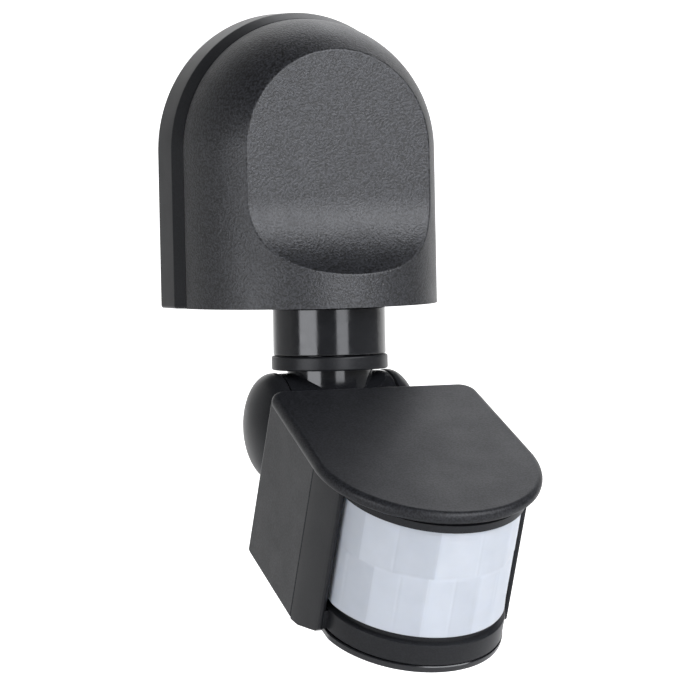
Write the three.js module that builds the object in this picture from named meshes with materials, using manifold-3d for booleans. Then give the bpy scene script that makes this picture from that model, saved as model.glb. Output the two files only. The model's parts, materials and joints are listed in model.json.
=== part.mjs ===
// Outdoor wall-mounted motion sensor: a wall box, a swivelling neck and a tilting sensor head.
// Millimetres. +X is to the right seen from the front, +Y goes into the wall, +Z is up.
// The origin is on the wall face, at the centre of the round top of the box.
import * as THREE from "three";
import { mergeVertices } from "three/addons/utils/BufferGeometryUtils.js";
import Module from "manifold-3d";

const wasm = await Module();
wasm.setup();

// ---------- driving dimensions ----------
const GAP = 0.3; // clearance between pieces that touch
const PAST = 60; // how far a cutting body runs past the object
const WALL = 2.2; // moulded wall thickness
const BOX = {
  radius: 40, // half the width, and the radius of the round top
  bottom: -45.2, // underside of the box
  rim: 10.6, // depth of the plate's straight rim
  shoulder: 14.5, // depth at which the cover starts
  inset: 1.9, // width of the sloping shoulder
  floor: 2.6, // thickness of the plate against the wall
};
const COVER = {
  radius: BOX.radius - BOX.inset,
  axis: -BOX.shoulder, // Y of the half round's axis
  flat: -39.4, // Y of the flat front
  flareStart: -13.5, // Z where the flat starts to curve outwards
  flareRadius: 25,
};
const NECK = {
  y: -30.2,
  radius: 16.3,
  bore: 12.1,
  spigot: 13.4,
  top: BOX.bottom - GAP,
  bottom: BOX.bottom - 13.8,
  spigotTop: BOX.bottom + 9,
};
const COLLAR = { radius: 16.8, top: BOX.bottom - 14.1, bottom: BOX.bottom - 18.15 };
const STEM = { radius: 12.4, spigot: 11.8, bore: 5.2, top: BOX.bottom + 11.5 };
const BARREL = {
  z: BOX.bottom - 34.5,
  radius: 15.5,
  half: 16.4,
  bore: 2.3,
  roomOuter: 12.8, // the ring-shaped room inside it, round the bolt's boss
  roomInner: 4.4,
};
const CAP = { radius: 15.7, inner: 16.7, pole: 25.2, lugRadius: 13 };
const TURN = THREE.MathUtils.degToRad(-1.94); // rest position of the neck swivel
const TILT = THREE.MathUtils.degToRad(25.1); // rest position of the head hinge

// The head's own frame: origin on the hinge axis, X along it, -Y towards the lens.
const HEAD = {
  half: 31.1, // half width of the housing
  back: -23.7,
  seam: -60.4, // where the housing meets the bezel
  lidTop: 24.3,
  lidBottom: 20.4,
  bottomBack: -26,
  bottomFront: -28,
};
const LID = { half: 31.4, radius: 33, centre: -65.4, back: -22.1, corner: 5, round: 1.6 };
const LENS = { radius: 26.3, centre: -70.7, half: 25.9, top: 17.9, bottom: -15.6, thick: 0.9 };
const BAND = {
  radius: 26.3,
  centre: -72,
  top: -17.5,
  bottom: -23.6,
  ledge: 1.9, // height of the sloping ledge under the lens
  step: 1.3, // width of that ledge
  spare: 4, // trimmed off below
};
const BEZEL = { cheekFront: -75, cheekHalf: 29.1 };
const BASE = { top: BAND.bottom - GAP, bottom: -26.2 };
const KNOB = { radius: 4, y: -80, pitch: 14, depth: 3.2 };
const BOARD = { z: -16, thick: 1.6, back: -30, front: -88, half: 19 };

// ---------- solids ----------
function solid(geometry) {
  const g = geometry.clone();
  for (const name of Object.keys(g.attributes)) {
    if (name !== "position") g.deleteAttribute(name);
  }
  const merged = mergeVertices(g, 1e-4);
  return new wasm.Manifold(
    new wasm.Mesh({
      numProp: 3,
      vertProperties: new Float32Array(merged.attributes.position.array),
      triVerts: new Uint32Array(merged.index.array),
    }),
  );
}

function geometryOf(body) {
  const mesh = body.getMesh();
  const points = new Float32Array(mesh.numVert * 3);
  for (let i = 0; i < mesh.numVert; i++) {
    points.set(mesh.vertProperties.subarray(i * mesh.numProp, i * mesh.numProp + 3), i * 3);
  }
  const indexed = new THREE.BufferGeometry();
  indexed.setAttribute("position", new THREE.BufferAttribute(points, 3));
  indexed.setIndex(new THREE.BufferAttribute(new Uint32Array(mesh.triVerts), 1));
  const flat = indexed.toNonIndexed();
  flat.computeVertexNormals();
  return flat;
}

const union = (...bodies) => bodies.reduce((all, one) => all.add(one));
const cut = (body, ...tools) => tools.reduce((left, tool) => left.subtract(tool), body);

// A plan outline in X and Y, extruded from z0 up to z1.
function upright(shape, z0, z1, segments = 12) {
  const options = { depth: z1 - z0, bevelEnabled: false, curveSegments: segments };
  return solid(new THREE.ExtrudeGeometry(shape, options).translate(0, 0, z0));
}

// A front outline in X and Z, extruded forwards from depth d0 to depth d1 (Y = -depth).
function forward(shape, d0, d1, segments = 12) {
  const options = { depth: d1 - d0, bevelEnabled: false, curveSegments: segments };
  return solid(new THREE.ExtrudeGeometry(shape, options).rotateX(Math.PI / 2).translate(0, -d0, 0));
}

// A side outline in Y and Z, extruded from x0 to x1.
const SIDE_AXES = new THREE.Matrix4().makeBasis(
  new THREE.Vector3(0, 1, 0),
  new THREE.Vector3(0, 0, 1),
  new THREE.Vector3(1, 0, 0),
);
function sideways(shape, x0, x1, segments = 12) {
  const options = { depth: x1 - x0, bevelEnabled: false, curveSegments: segments };
  return solid(new THREE.ExtrudeGeometry(shape, options).applyMatrix4(SIDE_AXES).translate(x0, 0, 0));
}

// A profile of [radius, height] points turned about a vertical line through (x, y).
function turned(profile, x = 0, y = 0, segments = 28) {
  const points = profile.map(([r, z]) => new THREE.Vector2(r, z));
  return solid(new THREE.LatheGeometry(points, segments).rotateX(Math.PI / 2).translate(x, y, 0));
}

const rod = (radius, z0, z1, x = 0, y = 0, segments = 28) =>
  turned([[0, z0], [radius, z0], [radius, z1], [0, z1]], x, y, segments);
const ring = (outer, inner, z0, z1, x = 0, y = 0, segments = 28) =>
  turned([[inner, z0], [outer, z0], [outer, z1], [inner, z1], [inner, z0]], x, y, segments);

// Turns a body made along +Z so that it lies along -Y (towards the front) or +X.
const alongY = (body) => body.rotate([90, 0, 0]);
const alongX = (body) => body.rotate([0, 90, 0]);

const block = (x0, x1, y0, y1, z0, z1) =>
  solid(
    new THREE.BoxGeometry(x1 - x0, y1 - y0, z1 - z0).translate(
      (x0 + x1) / 2,
      (y0 + y1) / 2,
      (z0 + z1) / 2,
    ),
  );

function outline(points) {
  const shape = new THREE.Shape();
  points.forEach(([a, b], i) => (i ? shape.lineTo(a, b) : shape.moveTo(a, b)));
  shape.closePath();
  return shape;
}

// The box's front outline: straight sides under a half circle.
function arch(half, bottom) {
  const shape = new THREE.Shape();
  shape.moveTo(-half, bottom);
  shape.lineTo(half, bottom);
  shape.lineTo(half, 0);
  shape.absarc(0, 0, half, 0, Math.PI, false);
  shape.closePath();
  return shape;
}

// A plan outline with a round front: straight sides from `back`, then an arc about (0, centre).
function bullet(half, back, centre, radius) {
  const spread = Math.asin(Math.min(half / radius, 1));
  const shape = new THREE.Shape();
  shape.moveTo(half, back);
  shape.lineTo(-half, back);
  shape.absarc(0, centre, radius, -Math.PI / 2 - spread, -Math.PI / 2 + spread, false);
  shape.closePath();
  return shape;
}

// ---------- materials and nodes ----------
const FINISH = {
  shell: { color: 0x25262a, roughness: 0.55, metalness: 0 },
  gloss: { color: 0x1b1c1f, roughness: 0.2, metalness: 0 },
  lens: { color: 0xdfe6ee, roughness: 0.35, metalness: 0 },
  rubber: { color: 0x161616, roughness: 0.9, metalness: 0 },
  steel: { color: 0xb5b8bb, roughness: 0.35, metalness: 1 },
  brass: { color: 0xb99a4a, roughness: 0.35, metalness: 1 },
  board: { color: 0x1e6b3a, roughness: 0.5, metalness: 0 },
  terminal: { color: 0xe6e3da, roughness: 0.5, metalness: 0 },
  relay: { color: 0x1f4f9c, roughness: 0.4, metalness: 0 },
  dark: { color: 0x141416, roughness: 0.4, metalness: 0 },
  lead: { color: 0x1a1a1a, roughness: 0.7, metalness: 0 },
};

const model = new THREE.Group();
const swivel = new THREE.Group();
swivel.position.set(0, NECK.y, 0);
swivel.rotation.z = TURN;
const head = new THREE.Group();
head.position.set(0, 0, BARREL.z);
head.rotation.x = TILT;
swivel.add(head);
model.add(swivel);

function place(group, name, finish, body) {
  const mesh = new THREE.Mesh(geometryOf(body), new THREE.MeshStandardMaterial(FINISH[finish]));
  mesh.name = name;
  group.add(mesh);
}

// ---------- wall box ----------
const SLOT = { radius: 2.5, reach: 3, places: [[0, 24], [-20, -25], [20, -25]] };
const ENTRY = { z: -19, radius: 6.5, bore: 3.4 };
const COVER_SCREW = { x: 28, y: -19.5, radius: 1.4, head: 2.9, seat: 1.2 };
const POST = { half: 4, bottom: BOX.bottom + 4.8, top: BOX.bottom + 13, bore: 1.55 };
const SEAL = { outer: BOX.radius - 2.2, width: 3, rise: 2.2, depth: 1.3 };
const TERMINAL = { half: 12, front: 13, bottom: -1, top: 15, pitch: 8, screwZ: 10, well: 2.4, wire: 1.6 };

const circle = (a, b, radius) => {
  const shape = new THREE.Shape();
  shape.absarc(a, b, radius, 0, 2 * Math.PI, false);
  return shape;
};

function slotShape(x, z) {
  const shape = new THREE.Shape();
  shape.absarc(x, z + SLOT.reach, SLOT.radius, 0, Math.PI, false);
  shape.absarc(x, z - SLOT.reach, SLOT.radius, Math.PI, 2 * Math.PI, false);
  shape.closePath();
  return shape;
}

// An arch-shaped ring whose bottom run lies `rise` above the underside of the box.
const archRing = (outer, width, rise, d0, d1) =>
  cut(
    forward(arch(outer, BOX.bottom + rise), d0, d1),
    forward(arch(outer - width, BOX.bottom + rise + width), d0 - 1, d1 + 1),
  );

function basePlate() {
  const bevel = BOX.shoulder - BOX.rim;
  const spare = 10; // trimmed off the back and the underside, where the edge isn't bevelled
  const blank = new THREE.ExtrudeGeometry(arch(BOX.radius, BOX.bottom - spare), {
    depth: BOX.rim + spare,
    bevelThickness: bevel,
    bevelSize: BOX.inset,
    bevelOffset: -BOX.inset,
    bevelSegments: 1,
    curveSegments: 16,
  });
  const outer = solid(blank.rotateX(Math.PI / 2).translate(0, spare, 0))
    .intersect(block(-PAST, PAST, -PAST, 0, BOX.bottom, PAST));
  const inner = BOX.radius - BOX.inset - WALL;
  const room = forward(arch(inner, BOX.bottom + WALL), BOX.floor, BOX.shoulder + 5);
  let plate = outer.subtract(room);
  for (const side of [-1, 1]) {
    const x = side * COVER_SCREW.x;
    const y = COVER_SCREW.y;
    plate = plate
      .add(block(x - POST.half, x + POST.half, y - POST.half, 0.1 - BOX.floor, POST.bottom, POST.top))
      .subtract(rod(POST.bore, POST.bottom - 1, POST.top - 1.5, x, y, 10));
  }
  return cut(
    plate,
    archRing(SEAL.outer, SEAL.width, SEAL.rise, -1, SEAL.depth),
    forward(circle(0, ENTRY.z, ENTRY.radius), -2, BOX.floor + 2),
    ...SLOT.places.map(([x, z]) => forward(slotShape(x, z), -1, BOX.floor + 1, 8)),
  );
}

// Half of an upright cylinder with a quarter sphere on top, in front of the cover's seam.
function domedHalf(radius, bottom) {
  const steps = 10;
  const profile = [[0, bottom], [radius, bottom]];
  for (let i = 0; i <= steps; i++) {
    const a = (i / steps) * (Math.PI / 2);
    profile.push([i === steps ? 0 : radius * Math.cos(a), radius * Math.sin(a)]);
  }
  return turned(profile, 0, COVER.axis, 56)
    .subtract(block(-PAST, PAST, COVER.axis - GAP, PAST, -PAST, PAST));
}

// What the scoop takes away: everything in front of the flat, and a round hollow below it.
function scoop(offset) {
  const radius = COVER.flareRadius + offset;
  const centre = COVER.flat - COVER.flareRadius;
  const shape = new THREE.Shape();
  shape.moveTo(centre + radius, PAST);
  shape.lineTo(centre + radius, COVER.flareStart);
  shape.absarc(centre, COVER.flareStart, radius, 0, -Math.PI / 2, true);
  shape.lineTo(-2 * PAST, COVER.flareStart - radius);
  shape.lineTo(-2 * PAST, PAST);
  shape.closePath();
  return sideways(shape, -PAST, PAST, 12);
}

function frontCover() {
  const outer = domedHalf(COVER.radius, BOX.bottom).subtract(scoop(0));
  const inner = domedHalf(COVER.radius - WALL, BOX.bottom + WALL).subtract(scoop(WALL));
  const room = inner.add(inner.translate(0, GAP, 0));
  const hole = (radius, height, x, y, segments) =>
    rod(radius, BOX.bottom - 1, BOX.bottom + height, x, y, segments);
  const screwHoles = [-COVER_SCREW.x, COVER_SCREW.x].flatMap((x) => [
    hole(COVER_SCREW.radius + GAP, WALL + 1, x, COVER_SCREW.y, 20),
    hole(COVER_SCREW.head + GAP, COVER_SCREW.seat, x, COVER_SCREW.y, 16),
  ]);
  return cut(outer, room, hole(NECK.spigot + GAP, WALL + 1, 0, NECK.y, 28), ...screwHoles);
}

function coverScrew(side) {
  const x = side * COVER_SCREW.x;
  const bottom = BOX.bottom + 0.1;
  const body = union(
    rod(COVER_SCREW.head, bottom, BOX.bottom + COVER_SCREW.seat - 0.1, x, COVER_SCREW.y, 16),
    rod(COVER_SCREW.radius, bottom, BOX.bottom + 10, x, COVER_SCREW.y, 16),
  );
  const blade = block(-0.4, 0.4, -2, 2, bottom - 1, bottom + 0.6);
  const cross = blade.add(blade.rotate([0, 0, 90])).translate(x, COVER_SCREW.y, 0);
  return body.subtract(cross);
}

const wallGasket = () => archRing(SEAL.outer - GAP, SEAL.width - 2 * GAP, SEAL.rise + GAP, 0, 1);
const coverGasket = () => archRing(BOX.radius - BOX.inset - WALL - GAP, 2, WALL + GAP, 12.2, 14.4);

function cableGrommet() {
  const flange = ring(8.6, ENTRY.bore, BOX.floor + GAP, BOX.floor + 1.8, 0, 0, 32);
  const neck = ring(ENTRY.radius - GAP, ENTRY.bore, 0.2, BOX.floor + 0.5, 0, 0, 32);
  return alongY(flange.add(neck)).translate(0, 0, ENTRY.z);
}

function terminalBlock() {
  const { half, front, bottom, top, pitch, screwZ, well, wire } = TERMINAL;
  let body = block(-half, half, -front, -BOX.floor - GAP, bottom, top);
  for (const i of [-1, 0, 1]) {
    const screwWell = alongY(rod(well, front - 3, front + 1, 0, 0, 20)).translate(i * pitch, 0, screwZ);
    const wireWay = rod(wire, bottom - 1, bottom + 6, i * pitch, -front + 5, 16);
    body = cut(body, screwWell, wireWay);
  }
  const groove = (x) => block(x - 0.4, x + 0.4, -front - 1, -front + 2, bottom - 1, top + 1);
  return cut(body, groove(-pitch / 2), groove(pitch / 2));
}

function terminalScrew(i) {
  const body = rod(TERMINAL.well - GAP, TERMINAL.front - 2.7, TERMINAL.front - 0.4, 0, 0, 20);
  const slot = block(-0.4, 0.4, -3, 3, TERMINAL.front - 1.2, TERMINAL.front);
  return alongY(body.subtract(slot)).translate(i * TERMINAL.pitch, 0, TERMINAL.screwZ);
}

// ---------- neck ----------
const NECK_SEAL = { outer: 15.2, inner: 14.1, depth: 1.1 };
const NUT = { radius: 15.3, height: 3.8, notches: 6 };

function neckTube() {
  const { outer, inner, depth } = NECK_SEAL;
  const groove = ring(outer + 0.2, inner - 0.2, NECK.top - depth - 0.1, NECK.top + 1, 0, NECK.y);
  const tube = turned(
    [
      [NECK.bore, NECK.bottom],
      [NECK.radius - 0.4, NECK.bottom],
      [NECK.radius, NECK.bottom + 0.4],
      [NECK.radius, NECK.top],
      [NECK.spigot, NECK.top],
      [NECK.spigot, NECK.spigotTop],
      [NECK.bore, NECK.spigotTop],
      [NECK.bore, NECK.bottom],
    ],
    0,
    NECK.y,
    40,
  );
  return tube.subtract(groove);
}

function neckNut() {
  const z0 = BOX.bottom + WALL + GAP;
  let nut = ring(NUT.radius, NECK.spigot + GAP, z0, z0 + NUT.height, 0, NECK.y, 36);
  for (let i = 0; i < NUT.notches; i++) {
    const turn = ((i + 0.5) * 360) / NUT.notches;
    const notch = block(NUT.radius - 0.7, 18, -1.5, 1.5, z0 + 1.4, z0 + 5).rotate([0, 0, turn]);
    nut = nut.subtract(notch.translate(0, NECK.y, 0));
  }
  return nut;
}

const neckSeal = () =>
  ring(NECK_SEAL.outer, NECK_SEAL.inner, NECK.top - NECK_SEAL.depth, NECK.top, 0, NECK.y);

// The stem and the horizontal barrel of the hinge, in the swivel's own frame.
const CLIP = { z: NECK.spigotTop + GAP, thick: 1.2, outer: 14.2, groove: 10.9 };
function swivelKnuckle() {
  const stemTop = NECK.bottom - GAP;
  const body = union(
    rod(STEM.radius, BARREL.z, stemTop, 0, 0, 36),
    rod(STEM.spigot, stemTop - 1, STEM.top, 0, 0, 36),
    alongX(rod(BARREL.radius, -BARREL.half, BARREL.half, 0, 0, 36)).translate(0, 0, BARREL.z),
  );
  const groove = ring(20, CLIP.groove, CLIP.z - 0.1, CLIP.z + CLIP.thick + 0.2);
  const ringRoom = ring(BARREL.roomOuter, BARREL.roomInner, 2 - BARREL.half, BARREL.half - 2);
  const hollow = alongX(ringRoom).translate(0, 0, BARREL.z);
  const bolt = alongX(rod(BARREL.bore, -20, 20, 0, 0, 24)).translate(0, 0, BARREL.z);
  const window = block(-5, 5, -20, -9, BARREL.z - 9, BARREL.z + 6);
  return cut(body, groove, hollow, bolt, window, rod(STEM.bore, BARREL.z + 6, STEM.top + 1, 0, 0, 24));
}

function collarRing() {
  const round = 0.5;
  return turned([
    [STEM.radius + GAP, COLLAR.bottom],
    [COLLAR.radius - round, COLLAR.bottom],
    [COLLAR.radius, COLLAR.bottom + round],
    [COLLAR.radius, COLLAR.top - round],
    [COLLAR.radius - round, COLLAR.top],
    [STEM.radius + GAP, COLLAR.top],
    [STEM.radius + GAP, COLLAR.bottom],
  ], 0, 0, 36);
}

function swivelClip() {
  const body = ring(CLIP.outer, CLIP.groove + 0.2, CLIP.z, CLIP.z + CLIP.thick);
  return body.subtract(block(-4, 4, 5, 20, CLIP.z - 1, CLIP.z + CLIP.thick + 1));
}

// ---------- head: housing, hinge lugs and caps ----------
const LUG = { inner: CAP.inner, outer: 20.4, arm: 10 };
const INSIDE = HEAD.half - WALL;

// A plan outline with rounded back corners and straight sides.
function rearPlan(half, back, front, corner) {
  const shape = new THREE.Shape();
  shape.moveTo(half, front);
  shape.lineTo(half, back - corner);
  shape.absarc(half - corner, back - corner, corner, 0, Math.PI / 2, false);
  shape.absarc(corner - half, back - corner, corner, Math.PI / 2, Math.PI, false);
  shape.lineTo(-half, front);
  shape.closePath();
  return shape;
}

// The lid widens slightly from its rounded back corners to its round front.
function lidPlate() {
  const { half, radius, centre, back, corner, round } = LID;
  const inner = corner - round;
  const shape = new THREE.Shape();
  shape.absarc(half - corner, back - corner, inner, 0, Math.PI / 2, false);
  shape.absarc(corner - half, back - corner, inner, Math.PI / 2, Math.PI, false);
  shape.absarc(0, centre, radius - round, Math.PI, 2 * Math.PI, false);
  shape.closePath();
  const depth = HEAD.lidTop - HEAD.lidBottom - 2 * round;
  const options = { depth, bevelThickness: round, bevelSize: round, bevelSegments: 2, curveSegments: 12 };
  return solid(new THREE.ExtrudeGeometry(shape, options).translate(0, 0, HEAD.lidBottom + round));
}

function sideProfile(lift, back, front) {
  const slope = (HEAD.bottomFront - HEAD.bottomBack) / (HEAD.seam - HEAD.back);
  const bottom = (y) => HEAD.bottomBack + lift + slope * (y - HEAD.back);
  const top = HEAD.lidBottom + 1.8;
  return outline([[back, bottom(back)], [back, top], [front, top], [front, bottom(front)]]);
}

function lug(side) {
  const shape = new THREE.Shape();
  shape.moveTo(HEAD.back - 0.5, -LUG.arm);
  shape.lineTo(0, -LUG.arm);
  shape.lineTo(0, LUG.arm);
  shape.lineTo(HEAD.back - 0.5, LUG.arm);
  shape.closePath();
  const x0 = side > 0 ? LUG.inner : -LUG.outer;
  const x1 = side > 0 ? LUG.outer : -LUG.inner;
  return sideways(shape, x0, x1).add(sideways(circle(0, 0, CAP.lugRadius), x0, x1));
}

function headHousing() {
  const shell = upright(rearPlan(HEAD.half, HEAD.back, HEAD.seam, 1.5), -PAST, HEAD.lidBottom + 1)
    .intersect(sideways(sideProfile(0, HEAD.back, HEAD.seam), -PAST, PAST));
  const room = upright(rearPlan(INSIDE, HEAD.back - WALL, HEAD.seam - 1, 1), -PAST, PAST)
    .intersect(sideways(sideProfile(WALL, HEAD.back - WALL, HEAD.seam - 1), -PAST, PAST));
  const boltWay = alongX(rod(BARREL.bore, -30, 30, 0, 0, 24));
  const leadWay = alongY(rod(4.2, 20, 30, 0, 0, 20)).translate(0, 0, -2.4);
  return cut(union(shell, lidPlate(), lug(-1), lug(1)), room, boltWay, leadWay);
}

// The domed cap over a hinge lug; its mouth faces the barrel and its front is notched for the lug's arm.
function endCap(side) {
  const { radius, inner, pole, lugRadius } = CAP;
  const shoulder = inner + 1;
  const power = 2;
  const steps = 6;
  const profile = [[0, inner], [radius, inner]];
  for (let i = 0; i <= steps; i++) {
    const t = Math.sin((i / steps) * (Math.PI / 2));
    const r = i === steps ? 0 : radius * (1 - t ** power) ** (1 / power);
    profile.push([r, shoulder + (pole - shoulder) * t]);
  }
  const dome = turned(profile, 0, 0, 36);
  const lugRoom = rod(lugRadius + GAP, inner - 1, LUG.outer + GAP, 0, 0, 40);
  const headRoom = rod(5.6, LUG.outer, LUG.outer + 3.4, 0, 0, 24);
  const armRoom = block(-LUG.arm - GAP, LUG.arm + GAP, -30, 0, inner - 1, LUG.outer + GAP);
  const cap = cut(dome, lugRoom, headRoom, armRoom).rotate([0, 90, 0]);
  return side > 0 ? cap : cap.mirror([1, 0, 0]);
}

function pivotBolt() {
  const head = rod(4, -LUG.outer - 2.7, -LUG.outer - 0.2, 0, 0, 24);
  const slot = block(-0.6, 0.6, -3, 3, -LUG.outer - 4, -LUG.outer - 1.8);
  return alongX(head.subtract(slot).add(rod(2, -LUG.outer - 1, LUG.outer + 3, 0, 0, 24)));
}

function pivotNut() {
  const hexagon = ring(4.3, 2.1, LUG.outer + 0.2, LUG.outer + 2.8, 0, 0, 6);
  return alongX(hexagon.subtract(rod(2.15, 0, 30)));
}

// ---------- head: bezel, lens and base ----------
const CHEEK = { seam: HEAD.seam - GAP, inset: 1.9 };
const WEB = { back: -65, thick: 2, outer: 29.4, jamb: -69.4 }; // inner walls that tie the bezel together
const WEB_TOP = -18;
const POST_X = 23.6;
const FRONT_POST = { x: 17.2, y: -87.2 };
const SCREW_PLACES = [
  [-POST_X, -66],
  [POST_X, -66],
  [-FRONT_POST.x, FRONT_POST.y],
  [FRONT_POST.x, FRONT_POST.y],
];
const TONGUE = { inner: INSIDE - GAP - 1.6, outer: INSIDE - GAP };

function cheekPlan(offset) {
  const back = CHEEK.seam + (offset ? 1 : 0);
  return outline([
    [HEAD.half - offset, back],
    [-HEAD.half + offset, back],
    [-HEAD.half + offset, CHEEK.seam],
    [-BEZEL.cheekHalf + offset * 0.8, BEZEL.cheekFront],
    [BEZEL.cheekHalf - offset * 0.8, BEZEL.cheekFront],
    [HEAD.half - offset, CHEEK.seam],
  ]);
}

const cheekSide = () =>
  outline([
    [CHEEK.seam + 2, HEAD.bottomFront],
    [CHEEK.seam + 2, HEAD.lidBottom - GAP],
    [BEZEL.cheekFront - 1, HEAD.lidBottom - GAP],
    [BEZEL.cheekFront - 1, -19.5],
    [-74.6, -24.2],
    [-65, -27.7],
    [CHEEK.seam, HEAD.bottomFront],
  ]);

function frontBezel() {
  const top = HEAD.lidBottom - GAP;
  const cheeks = upright(cheekPlan(0), -PAST, top).intersect(sideways(cheekSide(), -PAST, PAST));
  const cheekRoom = upright(cheekPlan(CHEEK.inset), -PAST - 1, LENS.top);
  const windowHalf = LENS.radius + 0.4;
  const windowRoom = block(-windowHalf, windowHalf, -2 * PAST, -70, LENS.bottom, LENS.top);
  const roofPlan = bullet(LENS.radius + GAP, -74, LENS.centre, LENS.radius + 0.8);
  const roof = upright(roofPlan, LENS.top, top);
  const bandPlan = bullet(BAND.radius - BAND.step, -64, BAND.centre, BAND.radius - BAND.step);
  const band = solid(
    new THREE.ExtrudeGeometry(bandPlan, {
      depth: BAND.top - BAND.bottom + BAND.spare,
      bevelThickness: BAND.ledge,
      bevelSize: BAND.step,
      bevelSegments: 1,
      curveSegments: 14,
    }).translate(0, 0, BAND.bottom - BAND.spare),
  ).intersect(block(-PAST, PAST, -2 * PAST, -73.5, BAND.bottom, LENS.bottom));
  const inner = BAND.radius - WALL - 0.6;
  const bandRoom = upright(bullet(inner, -60, BAND.centre, inner), -PAST, LENS.bottom + 1);
  const post = ([x, y]) => rod(3, BAND.bottom + 0.2, -18, x, y, 14);
  const bore = ([x, y]) => rod(1.35, BAND.bottom - 1, -18.8, x, y, 10);
  const bezel = cut(union(cheeks.subtract(cheekRoom), roof, band), windowRoom, bandRoom);
  const right = union(
    block(POST_X, WEB.outer, WEB.back - WEB.thick, WEB.back, BAND.bottom + 0.2, WEB_TOP),
    block(BAND.radius - BAND.step, BEZEL.cheekHalf, BEZEL.cheekFront + 0.2, -70, BAND.bottom, WEB_TOP),
    block(LENS.half + GAP, WEB.outer, WEB.jamb - WEB.thick, WEB.jamb, WEB_TOP, LENS.top + 1),
    block(TONGUE.inner, TONGUE.outer, CHEEK.seam - 7, CHEEK.seam + 8, -9, 9),
  );
  return union(bezel, right, right.mirror([1, 0, 0]), ...SCREW_PLACES.map(post))
    .subtract(union(...SCREW_PLACES.map(bore)));
}

function fresnelLens() {
  const outer = bullet(LENS.half, -72, LENS.centre, LENS.radius);
  const innerRadius = LENS.radius - LENS.thick;
  const inner = bullet(innerRadius, -50, LENS.centre, innerRadius);
  const z0 = LENS.bottom + GAP;
  const z1 = LENS.top - GAP;
  return upright(outer, z0, z1).subtract(upright(inner, z0 - 1, z1 + 1));
}

const BASE_SCREW = { radius: 1.15, head: 2.4, seat: 0.9 };
const basePlan = () => bullet(26.3, CHEEK.seam - 0.4, -71.4, 26.8);

function bottomCover() {
  const { top, bottom } = BASE;
  let plate = upright(basePlan(), bottom, top, 14);
  for (const i of [-1, 0, 1]) {
    plate = plate.subtract(rod(KNOB.radius + GAP, bottom - 1, top + 1, i * KNOB.pitch, KNOB.y, 24));
  }
  for (const [x, y] of SCREW_PLACES) {
    plate = cut(
      plate,
      rod(BASE_SCREW.radius + 0.35, bottom - 1, top + 1, x, y, 10),
      rod(BASE_SCREW.head + GAP, bottom - 1, bottom + BASE_SCREW.seat, x, y, 10),
    );
  }
  return plate;
}

function bottomScrew([x, y]) {
  const z = BASE.bottom + 0.05;
  const body = rod(BASE_SCREW.head, z, z + 0.75, x, y, 16).add(rod(BASE_SCREW.radius, z, z + 6, x, y, 10));
  const blade = block(-0.35, 0.35, -1.6, 1.6, z - 1, z + 0.4);
  return body.subtract(blade.add(blade.rotate([0, 0, 90])).translate(x, y, 0));
}

function adjustingKnob(i) {
  const z0 = BASE.bottom - 0.5;
  const x = i * KNOB.pitch;
  const slot = block(x - 3, x + 3, KNOB.y - 0.6, KNOB.y + 0.6, z0 - 1, z0 + 1.4);
  return union(
    rod(KNOB.radius - 0.4, z0, z0 + 0.5, x, KNOB.y, 16),
    rod(KNOB.radius, z0 + 0.4, z0 + KNOB.depth, x, KNOB.y, 16),
  ).subtract(slot);
}

// ---------- head: electronics ----------
const BOARD_BOTTOM = BOARD.z - BOARD.thick;
const RISER = { y: -61.4, thick: 1.6, half: 13, top: 12 };
const ON_BOARD = BOARD.z + GAP; // underside of what stands on the board
const RELAY = { left: -15, right: 0, front: -52, back: -33, top: BOARD.z + 15 };
const CAPACITOR = { x: 9, y: -40, radius: 6.2, height: 15.6 };
const TRIMMER_HALF = 3.6;

const circuitBoard = () =>
  upright(bullet(BOARD.half, BOARD.back, BOARD.front + BOARD.half, BOARD.half), BOARD_BOTTOM, BOARD.z, 16);

const sensorBoard = () =>
  block(-RISER.half, RISER.half, RISER.y, RISER.y + RISER.thick, ON_BOARD, RISER.top);

function pirSensor() {
  const can = union(rod(4.6, 0, 0.6, 0, 0, 32), rod(4.1, 0.5, 4.4, 0, 0, 32));
  const window = block(-2, 2, -1.5, 1.5, 4.1, 5);
  return alongY(can.subtract(window)).translate(0, RISER.y - GAP, 1.5);
}

function trimmer(i) {
  const x = i * KNOB.pitch;
  const top = BOARD_BOTTOM - GAP;
  const y = KNOB.y;
  return block(
    x - TRIMMER_HALF, x + TRIMMER_HALF, y - TRIMMER_HALF, y + TRIMMER_HALF,
    BASE.bottom + KNOB.depth - 0.1, top,
  );
}

const relay = () => block(RELAY.left, RELAY.right, RELAY.front, RELAY.back, ON_BOARD, RELAY.top);

function capacitor() {
  const { x, y, radius, height } = CAPACITOR;
  const round = 0.6;
  const top = ON_BOARD + height;
  const foot = [[0, ON_BOARD], [radius - round, ON_BOARD], [radius, ON_BOARD + round]];
  return turned([...foot, [radius, top - round], [radius - round, top], [0, top]], x, y, 32);
}

const lightSensor = () => rod(2.5, ON_BOARD, BOARD.z + 2.6, 0, KNOB.y, 24);
const boardConnector = () => block(-5, 5, -59.4, -53.4, ON_BOARD, BOARD.z + 8);

// ---------- lead ----------
const LEAD_RADIUS = 2.2;

function lead(points) {
  const section = circle(0, 0, LEAD_RADIUS);
  const path = new THREE.CatmullRomCurve3(points.map((p) => new THREE.Vector3(...p)));
  const options = { steps: 4 * (points.length - 1), extrudePath: path, curveSegments: 4 };
  return solid(new THREE.ExtrudeGeometry(section, options));
}

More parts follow.
